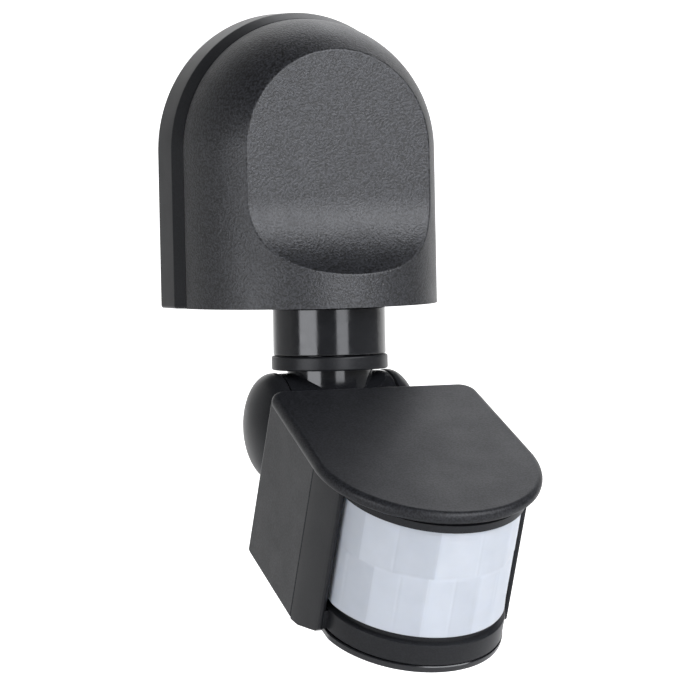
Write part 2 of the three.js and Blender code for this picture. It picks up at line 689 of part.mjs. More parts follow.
const SUPPLY_LEAD = [
  [0, -8, TERMINAL.bottom - 0.6],
  [0, -9.5, -7],
  [0, -17, -14],
  [0, NECK.y + 3, -20],
  [0, NECK.y, -27],
  [0, NECK.y, STEM.top + GAP],
];
const NECK_LEAD = [
  [0, 0, STEM.top],
  [0, 0, -50],
  [0, 0, BARREL.z + 14],
  [0, -3.5, BARREL.z + 9],
  [0, -8.5, BARREL.z + 4],
  [0, -12.5, BARREL.z + 1],
];
const HEAD_LEAD = [
  [0, -16.8, -3],
  [0, -23, -3],
  [0.5, -31, 2],
  [0.5, -42, 4.5],
  [0.5, -51, 3],
  [0, -56.3, -2],
  [0, -56.3, -7.6],
];

// ---------- assembly ----------
place(model, "wall_gasket", "rubber", wallGasket());
place(model, "base_plate", "shell", basePlate());
place(model, "cable_grommet", "rubber", cableGrommet());
place(model, "terminal_block", "terminal", terminalBlock());
[-1, 0, 1].forEach((i) => place(model, "terminal_screw_" + (i + 2), "brass", terminalScrew(i)));
place(model, "cover_gasket", "rubber", coverGasket());
place(model, "front_cover", "shell", frontCover());
[-1, 1].forEach((side, i) => place(model, "cover_screw_" + (i + 1), "steel", coverScrew(side)));
place(model, "neck_tube", "gloss", neckTube());
place(model, "neck_seal", "rubber", neckSeal());
place(model, "neck_nut", "dark", neckNut());
place(model, "supply_lead", "lead", lead(SUPPLY_LEAD));

place(swivel, "swivel_knuckle", "gloss", swivelKnuckle());
place(swivel, "collar_ring", "shell", collarRing());
place(swivel, "swivel_clip", "steel", swivelClip());
place(swivel, "neck_lead", "lead", lead(NECK_LEAD));

place(head, "head_housing", "shell", headHousing());
place(head, "left_end_cap", "shell", endCap(-1));
place(head, "right_end_cap", "shell", endCap(1));
place(head, "pivot_bolt", "steel", pivotBolt());
place(head, "pivot_nut", "steel", pivotNut());
place(head, "front_bezel", "shell", frontBezel());
place(head, "fresnel_lens", "lens", fresnelLens());
place(head, "bottom_cover", "gloss", bottomCover());
SCREW_PLACES.forEach((at, i) => place(head, "bottom_screw_" + (i + 1), "steel", bottomScrew(at)));
["time", "light", "range"].forEach((use, i) => {
  place(head, use + "_knob", "dark", adjustingKnob(i - 1));
  place(head, use + "_trimmer", "relay", trimmer(i - 1));
});
place(head, "circuit_board", "board", circuitBoard());
place(head, "sensor_board", "board", sensorBoard());
place(head, "pir_sensor", "steel", pirSensor());
place(head, "light_sensor", "lens", lightSensor());
place(head, "relay", "relay", relay());
place(head, "capacitor", "dark", capacitor());
place(head, "board_connector", "terminal", boardConnector());
place(head, "head_lead", "lead", lead(HEAD_LEAD));

export default model;
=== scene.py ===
import json
import math

import bmesh
import bpy
from mathutils import Matrix, Vector


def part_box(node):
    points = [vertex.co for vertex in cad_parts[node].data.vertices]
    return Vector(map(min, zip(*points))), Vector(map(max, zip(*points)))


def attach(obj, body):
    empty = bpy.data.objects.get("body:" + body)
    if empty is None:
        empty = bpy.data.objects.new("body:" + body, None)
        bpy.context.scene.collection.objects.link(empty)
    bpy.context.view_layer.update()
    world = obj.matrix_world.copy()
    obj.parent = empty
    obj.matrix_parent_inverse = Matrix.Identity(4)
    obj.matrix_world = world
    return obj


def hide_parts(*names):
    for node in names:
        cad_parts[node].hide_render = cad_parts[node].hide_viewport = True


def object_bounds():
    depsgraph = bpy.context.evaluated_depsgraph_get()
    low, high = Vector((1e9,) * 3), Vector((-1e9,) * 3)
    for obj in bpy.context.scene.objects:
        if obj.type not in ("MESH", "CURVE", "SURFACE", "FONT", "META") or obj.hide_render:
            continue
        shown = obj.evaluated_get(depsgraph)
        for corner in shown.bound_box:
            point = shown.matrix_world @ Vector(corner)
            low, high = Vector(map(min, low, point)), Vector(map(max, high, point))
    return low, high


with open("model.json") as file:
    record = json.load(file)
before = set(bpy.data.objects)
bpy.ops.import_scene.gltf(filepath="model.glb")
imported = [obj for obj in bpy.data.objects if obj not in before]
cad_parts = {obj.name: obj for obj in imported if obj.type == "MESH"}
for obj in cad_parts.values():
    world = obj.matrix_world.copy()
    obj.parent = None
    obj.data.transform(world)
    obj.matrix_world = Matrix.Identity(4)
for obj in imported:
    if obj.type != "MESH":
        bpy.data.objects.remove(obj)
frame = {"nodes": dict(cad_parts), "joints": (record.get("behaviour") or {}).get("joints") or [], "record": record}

MM = 0.001
FINE = 96  # segments in a full turn of a large round
CAD_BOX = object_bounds()
NODES = frame["nodes"]
JOINTS = {joint["name"]: joint for joint in frame["joints"]}


# ---------- the frame, in millimetres ----------
def box_mm(node):
    low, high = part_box(node)
    return low / MM, high / MM


def local_box(node, matrix):
    """A node's lowest and highest corners in the frame of a body, in millimetres."""
    inverse = matrix.inverted()
    points = [inverse @ (v.co / MM) for v in NODES[node].data.vertices]
    low = Vector([min(p[i] for p in points) for i in range(3)])
    high = Vector([max(p[i] for p in points) for i in range(3)])
    return low, high


def frame_of(x_axis, z_axis, place):
    x = Vector(x_axis).normalized()
    z = Vector(z_axis).normalized()
    y = z.cross(x)
    matrix = Matrix((x, y, z)).transposed().to_4x4()
    matrix.translation = Vector(place)
    return matrix


PLATE = box_mm("base_plate")
COVER = box_mm("front_cover")
TUBE = box_mm("neck_tube")
NECK_Y = (TUBE[0].y + TUBE[1].y) / 2
WALL_FRAME = Matrix.Identity(4)
TILT_AXIS = JOINTS["head_tilt"]["axis"]
SWIVEL_FRAME = frame_of(TILT_AXIS, (0, 0, 1), (0, NECK_Y, 0))
HEAD_FRAME = frame_of(
    TILT_AXIS, [-c for c in JOINTS["light_knob_turn"]["axis"]], Vector(JOINTS["head_tilt"]["pos_m"]) / MM
)
BOTTOM = PLATE[0].z  # underside of the box
BARREL_Z = HEAD_FRAME.translation.z
HOUSING = local_box("head_housing", HEAD_FRAME)
LENS = local_box("fresnel_lens", HEAD_FRAME)
BASE = local_box("bottom_cover", HEAD_FRAME)
CAP = local_box("right_end_cap", SWIVEL_FRAME)


# ---------- mesh helpers ----------
def loft(loops, cap_start=True, cap_end=True):
    """A closed body skinned over loops of points, all with the same number of points."""
    bm = bmesh.new()
    rows = [[bm.verts.new(p) for p in loop] for loop in loops]
    count = len(rows[0])
    for row, following in zip(rows, rows[1:]):
        for i in range(count):
            k = (i + 1) % count
            bm.faces.new((row[i], row[k], following[k], following[i]))
    if cap_start:
        bm.faces.new(reversed(rows[0]))
    if cap_end:
        bm.faces.new(rows[-1])
    return bm


def lathe(profile, x=0.0, y=0.0, segments=FINE):
    """A profile of (radius, height) turned about a vertical line. Radius 0 closes it on the axis."""
    bm = bmesh.new()
    rows = []
    for radius, z in profile:
        if radius < 1e-6:
            rows.append([bm.verts.new((x, y, z))])
            continue
        turn = [2 * math.pi * i / segments for i in range(segments)]
        rows.append([bm.verts.new((x + radius * math.cos(a), y + radius * math.sin(a), z)) for a in turn])
    closed = profile[0][0] > 1e-6
    pairs = list(zip(rows, rows[1:])) + ([(rows[-1], rows[0])] if closed else [])
    for row, following in pairs:
        for i in range(segments):
            k = (i + 1) % segments
            corners = [row[i % len(row)], row[k % len(row)], following[k % len(following)]]
            corners.append(following[i % len(following)])
            bm.faces.new(list(dict.fromkeys(corners)))
    return bm


def rounded(profile, radius, steps=4):
    """The same profile with each corner rounded. End points stay where they are."""
    out = [profile[0]]
    for before, corner, after in zip(profile, profile[1:], profile[2:]):
        here = Vector(corner)
        back = Vector(before) - here
        ahead = Vector(after) - here
        cut = min(radius, back.length * 0.45, ahead.length * 0.45)
        start = here + back.normalized() * cut
        end = here + ahead.normalized() * cut
        for i in range(steps + 1):
            t = i / steps
            point = start * (1 - t) ** 2 + here * 2 * t * (1 - t) + end * t ** 2
            out.append(tuple(point))
    out.append(profile[-1])
    return out


def rod(radius, z0, z1, x=0.0, y=0.0, segments=FINE // 2, edge=0.0):
    profile = [(0, z0), (radius, z0), (radius, z1), (0, z1)]
    return lathe(rounded(profile, edge) if edge else profile, x, y, segments)


def tube(outer, inner, z0, z1, x=0.0, y=0.0, segments=FINE // 2):
    return lathe([(inner, z0), (outer, z0), (outer, z1), (inner, z1)], x, y, segments)


def block(x0, x1, y0, y1, z0, z1):
    base = [(x0, y0), (x1, y0), (x1, y1), (x0, y1)]
    return loft([[(x, y, z) for x, y in base] for z in (z0, z1)])


def arc(cx, cy, radius, start, end, steps):
    turn = [math.radians(start + (end - start) * i / steps) for i in range(steps + 1)]
    return [(cx + radius * math.cos(a), cy + radius * math.sin(a)) for a in turn]


def upright(outline, levels):
    """A plan outline lofted upwards. outline(inset) gives its points; levels are (inset, height)."""
    return loft([[(x, y, z) for x, y in outline(inset)] for inset, z in levels])


def sideways(outline, x0, x1):
    """A side outline of (y, z) points, lofted from x0 to x1."""
    return loft([[(x, y, z) for y, z in outline] for x in (x0, x1)])


def turned_to(bm, axis):
    """Lays a body made along +Z so that it lies along +X or -Y."""
    turn = Matrix.Rotation(math.radians(90), 4, "Y" if axis == "X" else "X")
    bm.transform(turn)
    return bm


def moved(bm, x=0.0, y=0.0, z=0.0):
    bm.transform(Matrix.Translation((x, y, z)))
    return bm


def mirrored(bm):
    bm.transform(Matrix.Scale(-1, 4, (1, 0, 0)))
    bmesh.ops.reverse_faces(bm, faces=bm.faces)
    return bm


def body(bm):
    """A temporary object that holds a closed body for a boolean."""
    bmesh.ops.remove_doubles(bm, verts=bm.verts, dist=1e-5)
    bmesh.ops.recalc_face_normals(bm, faces=bm.faces)
    mesh = bpy.data.meshes.new("work")
    bm.to_mesh(mesh)
    bm.free()
    obj = bpy.data.objects.new("work", mesh)
    bpy.context.scene.collection.objects.link(obj)
    return obj


def combine(base, operation, tools):
    """Joins bodies to base or cuts them out of it, and returns base."""
    for tool in tools:
        other = body(tool) if isinstance(tool, bmesh.types.BMesh) else tool
        step = base.modifiers.new("step", "BOOLEAN")
        step.operation = operation
        step.solver = "EXACT"
        step.object = other
        graph = bpy.context.evaluated_depsgraph_get()
        result = bpy.data.meshes.new_from_object(base.evaluated_get(graph))
        base.modifiers.clear()
        base.data = result
        bpy.data.objects.remove(other)
    return base


def cut(base, *tools):
    return combine(body(base) if isinstance(base, bmesh.types.BMesh) else base, "DIFFERENCE", tools)


def join(base, *tools):
    return combine(body(base) if isinstance(base, bmesh.types.BMesh) else base, "UNION", tools)


def keep_inside(base, *tools):
    return combine(body(base) if isinstance(base, bmesh.types.BMesh) else base, "INTERSECT", tools)


def piece(name, shape, matrix, rider, slot, stands_for=None, sharp=32.0):
    """Finishes a shape as a piece of the object: in metres, shaded, with its material and body."""
    bm = bmesh.new()
    if isinstance(shape, bmesh.types.BMesh):
        shape = body(shape)
    bm.from_mesh(shape.data)
    bpy.data.objects.remove(shape)
    bmesh.ops.remove_doubles(bm, verts=bm.verts, dist=2e-4)
    bmesh.ops.dissolve_degenerate(bm, edges=bm.edges, dist=1e-4)
    bmesh.ops.recalc_face_normals(bm, faces=bm.faces)
    bm.transform(Matrix.Scale(MM, 4) @ matrix)
    limit = math.radians(sharp)
    for face in bm.faces:
        face.smooth = True
    for edge in bm.edges:
        edge.smooth = len(edge.link_faces) == 2 and edge.calc_face_angle(0) < limit
    mesh = bpy.data.meshes.new(name)
    bm.to_mesh(mesh)
    bm.free()
    mesh.materials.clear()
    mesh.materials.append(MATERIALS[slot])
    obj = bpy.data.objects.new(name, mesh)
    bpy.context.scene.collection.objects.link(obj)
    even = obj.modifiers.new("even", "WEIGHTED_NORMAL")
    even.keep_sharp = True
    even.weight = 100
    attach(obj, rider)
    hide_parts(stands_for or name.removesuffix("_fine"))
    return obj


# ---------- materials ----------
RECORD_COLOURS = {m["slot"]: m["base_color"] for m in frame["record"]["materials"]}


class Finish:
    """A Principled material whose noise, in millimetres, drives colour, roughness and bump."""

    def __init__(self, slot, roughness, metallic=0.0):
        self.material = bpy.data.materials.new(slot)
        self.material.use_nodes = True
        self.tree = self.material.node_tree
        self.shader = self.tree.nodes["Principled BSDF"]
        self.colour = RECORD_COLOURS[slot]
        self.roughness = roughness
        self.shader.inputs["Metallic"].default_value = metallic
        self.shader.inputs["Roughness"].default_value = roughness
        self.shader.inputs["Base Color"].default_value = (*self.colour, 1)
        self.place = self.tree.nodes.new("ShaderNodeTexCoord").outputs["Object"]
        self.normal = None

    def link(self, source, target):
        self.tree.links.new(source, target)

    def noise(self, size_mm, detail=3.0, stretch=None):
        place = self.place
        if stretch:
            mapping = self.tree.nodes.new("ShaderNodeMapping")
            mapping.inputs["Scale"].default_value = stretch
            self.link(place, mapping.inputs["Vector"])
            place = mapping.outputs["Vector"]
        node = self.tree.nodes.new("ShaderNodeTexNoise")
        node.inputs["Scale"].default_value = 1 / (size_mm * MM)
        node.inputs["Detail"].default_value = detail
        self.link(place, node.inputs["Vector"])
        return node.outputs["Fac"]

    def ramp(self, source, low, high, start=0.3, end=0.7):
        node = self.tree.nodes.new("ShaderNodeMapRange")
        node.inputs["From Min"].default_value = start
        node.inputs["From Max"].default_value = end
        node.inputs["To Min"].default_value = low
        node.inputs["To Max"].default_value = high
        self.link(source, node.inputs["Value"])
        return node.outputs["Result"]

    def add(self, one, other):
        node = self.tree.nodes.new("ShaderNodeMath")
        self.link(one, node.inputs[0])
        self.link(other, node.inputs[1])
        return node.outputs["Value"]

    def tint(self, source, low, high):
        """Base colour times a factor that goes from low to high with the source."""
        node = self.tree.nodes.new("ShaderNodeMix")
        node.data_type = "RGBA"
        self.link(source, node.inputs["Factor"])
        node.inputs["A"].default_value = (*[c * low for c in self.colour], 1)
        node.inputs["B"].default_value = (*[min(c * high, 1) for c in self.colour], 1)
        self.link(node.outputs["Result"], self.shader.inputs["Base Color"])
        return node.outputs["Result"]

    def vary_roughness(self, source, spread):
        low = max(self.roughness - spread, 0.02)
        self.link(self.ramp(source, low, self.roughness + spread), self.shader.inputs["Roughness"])

    def bump(self, source, height_mm, strength=1.0):
        node = self.tree.nodes.new("ShaderNodeBump")
        node.inputs["Strength"].default_value = strength
        node.inputs["Distance"].default_value = height_mm * MM
        self.link(source, node.inputs["Height"])
        if self.normal:
            self.link(self.normal, node.inputs["Normal"])
        self.normal = node.outputs["Normal"]
        self.link(self.normal, self.shader.inputs["Normal"])


def moulded(slot, roughness, grain_mm, grain_height, spread=0.06, specular=0.5, mottle=0.3):
    """Injection-moulded plastic: a fine grain, an uneven sheen and a faint waviness."""
    finish = Finish(slot, roughness)
    finish.shader.inputs["Specular IOR Level"].default_value = specular
    grain = finish.noise(grain_mm, 2)
    finish.tint(finish.ramp(grain, 0, 1, 0.4, 0.6), 1 - mottle, 1 + mottle)
    finish.vary_roughness(finish.noise(9, 4), spread)
    finish.bump(grain, grain_height)
    finish.bump(finish.noise(25, 1), 0.02)
    return finish.material


def glossy(slot, roughness):
    """Polished black plastic with a slight waviness and hairline scratches."""
    finish = Finish(slot, roughness)
    finish.tint(finish.noise(20, 2), 0.85, 1.2)
    finish.vary_roughness(finish.noise(3, 5), 0.05)
    finish.bump(finish.noise(6, 1), 0.008)
    finish.bump(finish.noise(0.5, 2, stretch=(1, 1, 0.05)), 0.0015)
    return finish.material


def milky_lens():
    """Milky polyethylene film: light scatters in it, and each facet gets a painted shade from the facet attribute,
    which stands in for how that facet catches the light.
    """
    finish = Finish("lens", 0.38)
    facet = finish.tree.nodes.new("ShaderNodeAttribute")
    facet.attribute_name = "facet"
    # Painted shade: the facet attribute takes the base colour from 1.05 times (lightest facets) to 0.86 times
    # (darkest), and the noise adds a random tone.
    finish.tint(finish.add(facet.outputs["Fac"], finish.ramp(finish.noise(7, 2), -0.15, 0.15)), 1.05, 0.86)
    finish.shader.inputs["Subsurface Weight"].default_value = 0.35
    finish.shader.inputs["Subsurface Radius"].default_value = (0.0018, 0.0022, 0.0028)
    finish.shader.inputs["Subsurface Scale"].default_value = 1.0
    finish.shader.inputs["Specular IOR Level"].default_value = 0.35
    finish.vary_roughness(finish.noise(4, 3), 0.05)
    finish.bump(finish.noise(1.2, 2), 0.01)
    return finish.material


def metal(slot, roughness, stretch):
    finish = Finish(slot, roughness, metallic=1.0)
    grain = finish.noise(0.6, 4, stretch=stretch)
    finish.tint(grain, 0.8, 1.1)
    finish.vary_roughness(grain, 0.1)
    finish.bump(grain, 0.006)
    return finish.material


MATERIALS = {
    "shell": moulded("shell", 0.45, 0.6, 0.16, 0.03, specular=0.6, mottle=0.95),
    "head_shell": moulded("head_shell", 0.43, 0.55, 0.02, 0.03, specular=0.27, mottle=0.5),
    "satin_black": moulded("satin_black", 0.36, 0.5, 0.003, 0.03, specular=0.23, mottle=0.15),
    "gloss_black": glossy("gloss_black", 0.14),
    "lens": milky_lens(),
    "rubber": moulded("rubber", 0.8, 0.4, 0.03, specular=0.3),
    "lead_rubber": moulded("lead_rubber", 0.65, 0.8, 0.02, specular=0.3),
    "steel": metal("steel", 0.32, (1, 1, 0.15)),
    "brass": metal("brass", 0.3, (1, 0.2, 1)),
    "terminal_white": moulded("terminal_white", 0.5, 0.6, 0.01),
    "board_green": moulded("board_green", 0.35, 1.5, 0.01),
    "part_blue": moulded("part_blue", 0.35, 0.9, 0.008),
    "dark_plastic": moulded("dark_plastic", 0.4, 0.6, 0.015),
}


# ---------- wall box ----------
GAP = 0.3  # clearance between pieces that touch
SEAM_Y = COVER[1].y + GAP  # where the cover meets the plate
COVER_R = COVER[1].x
FLAT_Y = -39.4  # the flat of the scoop
FLARE_R = 25.0  # the round flare below it
FLARE_Z = -13.5  # where the flat turns into the flare
WALL = 2.2  # moulded wall thickness
SCREW_SEAT = 1.2  # depth of a cover screw's counterbore
POST_HALF = 4.0  # half width of the post that a cover screw bites into


def cover_shape(radius, bottom, push, back, bevel):
    """The cover: a half cylinder under a quarter sphere, scooped out by a flat and a round flare.

    push moves the scoop's surface inwards, and bevel rounds the crease and the bottom edge."""
    flat = FLAT_Y + push
    flare = FLARE_R + push
    centre = FLAT_Y - FLARE_R
    top_angle = math.acos((SEAM_Y - flat) / radius)
    drop = math.sqrt(flare ** 2 - (SEAM_Y - radius - centre) ** 2)

    def surface_y(z):
        return flat if z > FLARE_Z else centre + math.sqrt(max(flare ** 2 - (z - FLARE_Z) ** 2, 0))

    def crease_angle(z):
        return math.acos(min((SEAM_Y - surface_y(z)) / radius, 1.0))

    def on_side(angle, z):
        return Vector((radius * math.sin(angle), SEAM_Y - radius * math.cos(angle), z))

    def on_dome(angle, up):
        out = radius * math.sin(angle)
        return Vector((out * math.cos(up), SEAM_Y - radius * math.cos(angle), out * math.sin(up)))

    quarter = math.pi / 2
    steps_out = 14
    rays = []  # each ray runs over the surface from the crease to the outline, right half, top down
    for i in range(33):
        up = quarter * (1 - i / 32)
        spread = [top_angle + (quarter - top_angle) * k / steps_out for k in range(steps_out + 1)]
        rays.append([on_dome(a, up) for a in spread])
    for i in range(1, 9):
        z = FLARE_Z * i / 8
        rays.append([on_side(a, z) for a in spread])
    corner = 14
    last = 36
    for i in range(1, last + 1):
        z = FLARE_Z - drop * math.sin(quarter * i / last)
        start = crease_angle(z) if i < last else 0.0
        if i <= corner:
            end = (quarter, FLARE_Z + (bottom - FLARE_Z) * i / corner)
        else:
            end = (quarter * (last - i) / (last - corner), bottom)
        steps = [k / steps_out for k in range(steps_out + 1)]
        rays.append([on_side(start + (end[0] - start) * t, z + (end[1] - z) * t) for t in steps])
    bm = bmesh.new()
    right = [[bm.verts.new(p) for p in ray] for ray in rays]
    left = [[bm.verts.new((-p.x, p.y, p.z)) if abs(p.x) > 1e-6 else v for p, v in zip(ray, row)]
            for ray, row in zip(rays, right)]
    for side in (right, left):
        for row, following in zip(side, side[1:]):
            for k in range(steps_out):
                bm.faces.new((row[k], row[k + 1], following[k + 1], following[k]))
    for i in range(len(rays) - 1):
        corners = [right[i][0], right[i + 1][0], left[i + 1][0], left[i][0]]
        bm.faces.new(list(dict.fromkeys(corners)))
    corner_row = 32 + 8 + corner
    bottom_edge = [row[-1] for row in right[corner_row:]] + [row[-1] for row in left[corner_row:-1]][::-1]
    bm.faces.new(bottom_edge)
    rim = [row[-1] for row in right[: corner_row + 1]]
    rim_left = [row[-1] for row in left[1 : corner_row + 1]]
    loop = rim + rim_left[::-1]
    back_loop = [bm.verts.new((v.co.x, back, v.co.z)) for v in loop]
    for i in range(len(loop)):
        k = (i + 1) % len(loop)
        bm.faces.new((loop[i], loop[k], back_loop[k], back_loop[i]))
    bm.faces.new(back_loop)
    bmesh.ops.recalc_face_normals(bm, faces=bm.faces)
    if bevel:
        crease = set(row[0] for row in right) | set(row[0] for row in left)
        edges = [e for e in bm.edges if all(v in crease for v in e.verts)
                 and not (abs(e.verts[0].co.z - e.verts[1].co.z) < 1e-6 and abs(e.verts[0].co.x) > 1)]
        edges = [e for e in edges if e.calc_face_angle(0) > 0.1]
        bmesh.ops.bevel(bm, geom=edges, offset=bevel, segments=4, profile=0.6, affect="EDGES")
    return bm


def cover_screw_place():
    low, high = box_mm("cover_screw_2")
    return (low.x + high.x) / 2, (low.y + high.y) / 2


def front_cover():
    shell = cover_shape(COVER_R, BOTTOM, 0.0, SEAM_Y + 2, 0.5)
    room = cover_shape(COVER_R - WALL, BOTTOM + WALL, WALL, SEAM_Y + 4, 0)
    x, y = cover_screw_place()
    seat, top = BOTTOM + SCREW_SEAT, BOTTOM + 4
    stepped = [(0, BOTTOM - 1), (3.2, BOTTOM - 1), (3.2, seat), (1.7, seat), (1.7, top), (0, top)]
    holes = [lathe(stepped, side * x, y, 48) for side in (-1, 1)]
    neck_hole = rod(13.7, BOTTOM - 1, top, 0, NECK_Y)
    behind = block(-60, 60, COVER[1].y, 20, -60, 60)
    solid = cut(shell, join(room, neck_hole, *holes), behind)
    piece("front_cover_fine", solid, WALL_FRAME, "wall_box", "shell", sharp=28)


def arch(half, bottom, corner=0.8):
    """The box's outline as (x, z) points: straight sides under a half circle."""
    points = arc(corner - half, bottom + corner, corner, 180, 270, 4)
    points += arc(half - corner, bottom + corner, corner, 270, 360, 4)
    points += [(half, bottom * (1 - i / 8)) for i in range(1, 8)]
    points += arc(0, 0, half, 0, 180, FINE)
    points += [(-half, bottom * i / 8) for i in range(1, 8)]
    return points


def arch_body(levels):
    """An arch-shaped body from levels of (half width, bottom, y)."""
    return loft([[(x, y, z) for x, z in arch(half, bottom)] for half, bottom, y in levels])


def arch_ring(half, bottom, width, y0, y1):
    ring = arch_body([(half, bottom, y0), (half, bottom, y1)])
    hole = arch_body([(half - width, bottom + width, y0 + 1), (half - width, bottom + width, y1 - 1)])
    return cut(ring, hole)


SLOTS = [(0, 24), (-20, -25), (20, -25)]


def slot_cutter(x, z):
    reach = 3.0
    points = arc(x, z + reach, 2.5, 0, 180, 16) + arc(x, z - reach, 2.5, 180, 360, 16)
    return loft([[(px, y, pz) for px, pz in points] for y in (2, -6)])


def base_plate():
    half = PLATE[1].x
    lip = COVER_R
    rim = -10.6
    shape = arch_body([
        (half - 0.4, BOTTOM, 0),
        (half, BOTTOM, -0.4),
        (half, BOTTOM, rim + 0.5),
        (half - 0.15, BOTTOM, rim),
        (lip + 0.2, BOTTOM, SEAM_Y + 0.3),
        (lip, BOTTOM, SEAM_Y),
    ])
    gasket = box_mm("wall_gasket")
    groove = arch_ring(gasket[1].x + 0.3, gasket[0].z - 0.3, 3, 1, -1.3)
    room = arch_body([(lip - WALL, BOTTOM + WALL, -2.6), (lip - WALL, BOTTOM + WALL, SEAM_Y - 2)])
    entry = box_mm("cable_grommet")
    hole = moved(turned_to(rod(6.5, -1, 4), "Y"), z=(entry[0].z + entry[1].z) / 2)
    solid = cut(shape, groove, room, hole, *[slot_cutter(x, z) for x, z in SLOTS])
    x, y = cover_screw_place()
    foot, top = BOTTOM + 4.8, BOTTOM + 13
    for side in (-1, 1):
        left = side * x - POST_HALF
        post = block(left, left + 2 * POST_HALF, y - POST_HALF, -2.5, foot, top)
        bore = rod(1.55, foot - 1, top - 1.5, side * x, y, 32)
        solid = join(solid, cut(post, bore))
    piece("base_plate_fine", solid, WALL_FRAME, "wall_box", "satin_black")


def wall_gasket():
    low, high = box_mm("wall_gasket")
    piece("wall_gasket_fine", arch_ring(high.x, low.z, 2.4, 0, -1), WALL_FRAME, "wall_box", "rubber")


def cable_grommet():
    low, high = box_mm("cable_grommet")
    middle = (low.z + high.z) / 2
    profile = [(3.4, 0.2), (6.2, 0.2), (6.2, 2.9), (8.6, 2.9), (8.6, 4.4), (5.2, 4.4), (3.8, 3.6), (3.4, 3.2)]
    ring = moved(turned_to(lathe(rounded(profile + [profile[0]], 0.25)[:-1]), "Y"), z=middle)
    piece("cable_grommet_fine", ring, WALL_FRAME, "wall_box", "rubber")


def screw(name, node, head_r, head_h, shank_r, matrix, rider, recess=0.5):
    """A pan-head screw with a cross recess, seen from below, where its CAD node is."""
    low, high = local_box(node, matrix)
    x, y = (low.x + high.x) / 2, (low.y + high.y) / 2
    z = low.z
    head = [(0, z), (head_r * 0.7, z), (head_r, z + head_h * 0.55), (head_r, z + head_h)]
    shank = [(shank_r, z + head_h), (shank_r, high.z - 1), (shank_r * 0.5, high.z), (0, high.z)]
    solid = body(lathe(rounded(head + shank, 0.2), x, y, 48))
    arm = head_r * 0.62
    width = head_r * 0.14
    slots = [
        block(x - arm, x + arm, y - width, y + width, z - 1, z + recess),
        block(x - width, x + width, y - arm, y + arm, z - 1, z + recess),
    ]
    piece(name, cut(solid, *slots), matrix, rider, "steel", stands_for=node)


# ---------- neck and swivel ----------
def neck_tube():
    low, high = box_mm("neck_tube")
    radius = (high.x - low.x) / 2
    top = BOTTOM - 0.3
    profile = [(12.1, low.z), (radius, low.z), (radius, top), (13.4, top), (13.4, high.z), (12.1, high.z)]
    bm = lathe(rounded(profile + [profile[0]], 0.35)[:-1], 0, NECK_Y, 128)
    piece("neck_tube_fine", bm, WALL_FRAME, "wall_box", "gloss_black")


def collar_ring():
    low, high = local_box("collar_ring", SWIVEL_FRAME)
    radius = high.x
    profile = [(12.7, low.z), (radius, low.z), (radius, high.z), (12.7, high.z)]
    bm = lathe(rounded(profile + [profile[0]], 0.55)[:-1], 0, 0, 128)
    piece("collar_ring_fine", bm, SWIVEL_FRAME, "neck_swivel", "satin_black")


def swivel_knuckle():
    low, high = local_box("swivel_knuckle", SWIVEL_FRAME)
    half = high.x
    radius = BARREL_Z - low.z
    stem_top = TUBE[0].z - 0.3
    stem = rod(12.4, BARREL_Z, stem_top, segments=128)
    spigot = rod(11.8, stem_top - 1, high.z, segments=FINE)
    barrel = moved(turned_to(rod(min(radius, 15.5), -half, half, segments=128, edge=0.3), "X"), z=BARREL_Z)
    clip = local_box("swivel_clip", SWIVEL_FRAME)
    groove = tube(20, 10.9, clip[0].z - 0.1, clip[1].z + 0.2)
    bore = rod(5.2, BARREL_Z + 6, high.z + 1)
    hollow = moved(turned_to(tube(12.8, 4.4, 2 - half, half - 2), "X"), z=BARREL_Z)
    bolt = moved(turned_to(rod(2.3, -20, 20), "X"), z=BARREL_Z)
    window = block(-5, 5, -20, -9, BARREL_Z - 9, BARREL_Z + 6)
    solid = cut(join(stem, spigot, barrel), groove, bore, hollow, bolt, window)
    piece("swivel_knuckle_fine", solid, SWIVEL_FRAME, "neck_swivel", "gloss_black")


# ---------- head ----------
HALF = 31.1
BACK = -23.7
SEAM = -60.4
LID_TOP = HOUSING[1].z
LID_BOTTOM = LID_TOP - 3.9
LID_HALF = 31.4
LID_R = HOUSING[1].x
LID_CENTRE = HOUSING[0].y + LID_R
LID_BACK = -22.1
ARM = 10.0
LUG_IN, LUG_OUT = 16.7, 20.4


def floor_z(y):
    """Height of the housing's sloping underside."""
    return -26.0 - 2.0 * (BACK - y) / (BACK - SEAM)


def housing_plan(inset, half=HALF, back=BACK, front=SEAM, corner=2.0):
    half, back, front = half - inset, back - inset, front + inset
    nose = 0.5
    points = arc(half - corner, back - corner, corner, 0, 90, 8)
    points += arc(corner - half, back - corner, corner, 90, 180, 8)
    points += arc(nose - half, front + nose, nose, 180, 270, 4)
    points += arc(half - nose, front + nose, nose, 270, 360, 4)
    return points


def bullet(half, back, centre, radius, corner=0.5, steps=FINE // 2):
    """A plan outline with a round front: straight sides, then an arc about (0, centre)."""
    spread = math.degrees(math.asin(min(half / radius, 1)))
    points = arc(half - corner, back - corner, corner, 0, 90, 6)
    points += arc(corner - half, back - corner, corner, 90, 180, 6)
    points += arc(0, centre, radius, 270 - spread, 270 + spread, steps)
    return points


def bullnose(thickness, top, radius, steps=7):
    """Levels of (inset, height) for a plate with round edges, top down."""
    turn = [math.pi / 2 * i / steps for i in range(steps + 1)]
    upper = [(radius * (1 - math.sin(a)), top - radius * (1 - math.cos(a))) for a in turn]
    lower = [(inset, 2 * top - thickness - z) for inset, z in upper]
    return upper + lower[::-1]


def lid():
    """The lid widens slightly from its rounded back corners to its round front."""
    corner = 5.0

    def outline(inset):
        half, back, inner = LID_HALF - corner, LID_BACK - corner, corner - inset
        points = arc(half, back, inner, 0, 90, 10) + arc(-half, back, inner, 90, 180, 10)
        return points + arc(0, LID_CENTRE, LID_R - inset, 180, 360, FINE)
    return upright(outline, bullnose(LID_TOP - LID_BOTTOM, LID_TOP, 1.8))


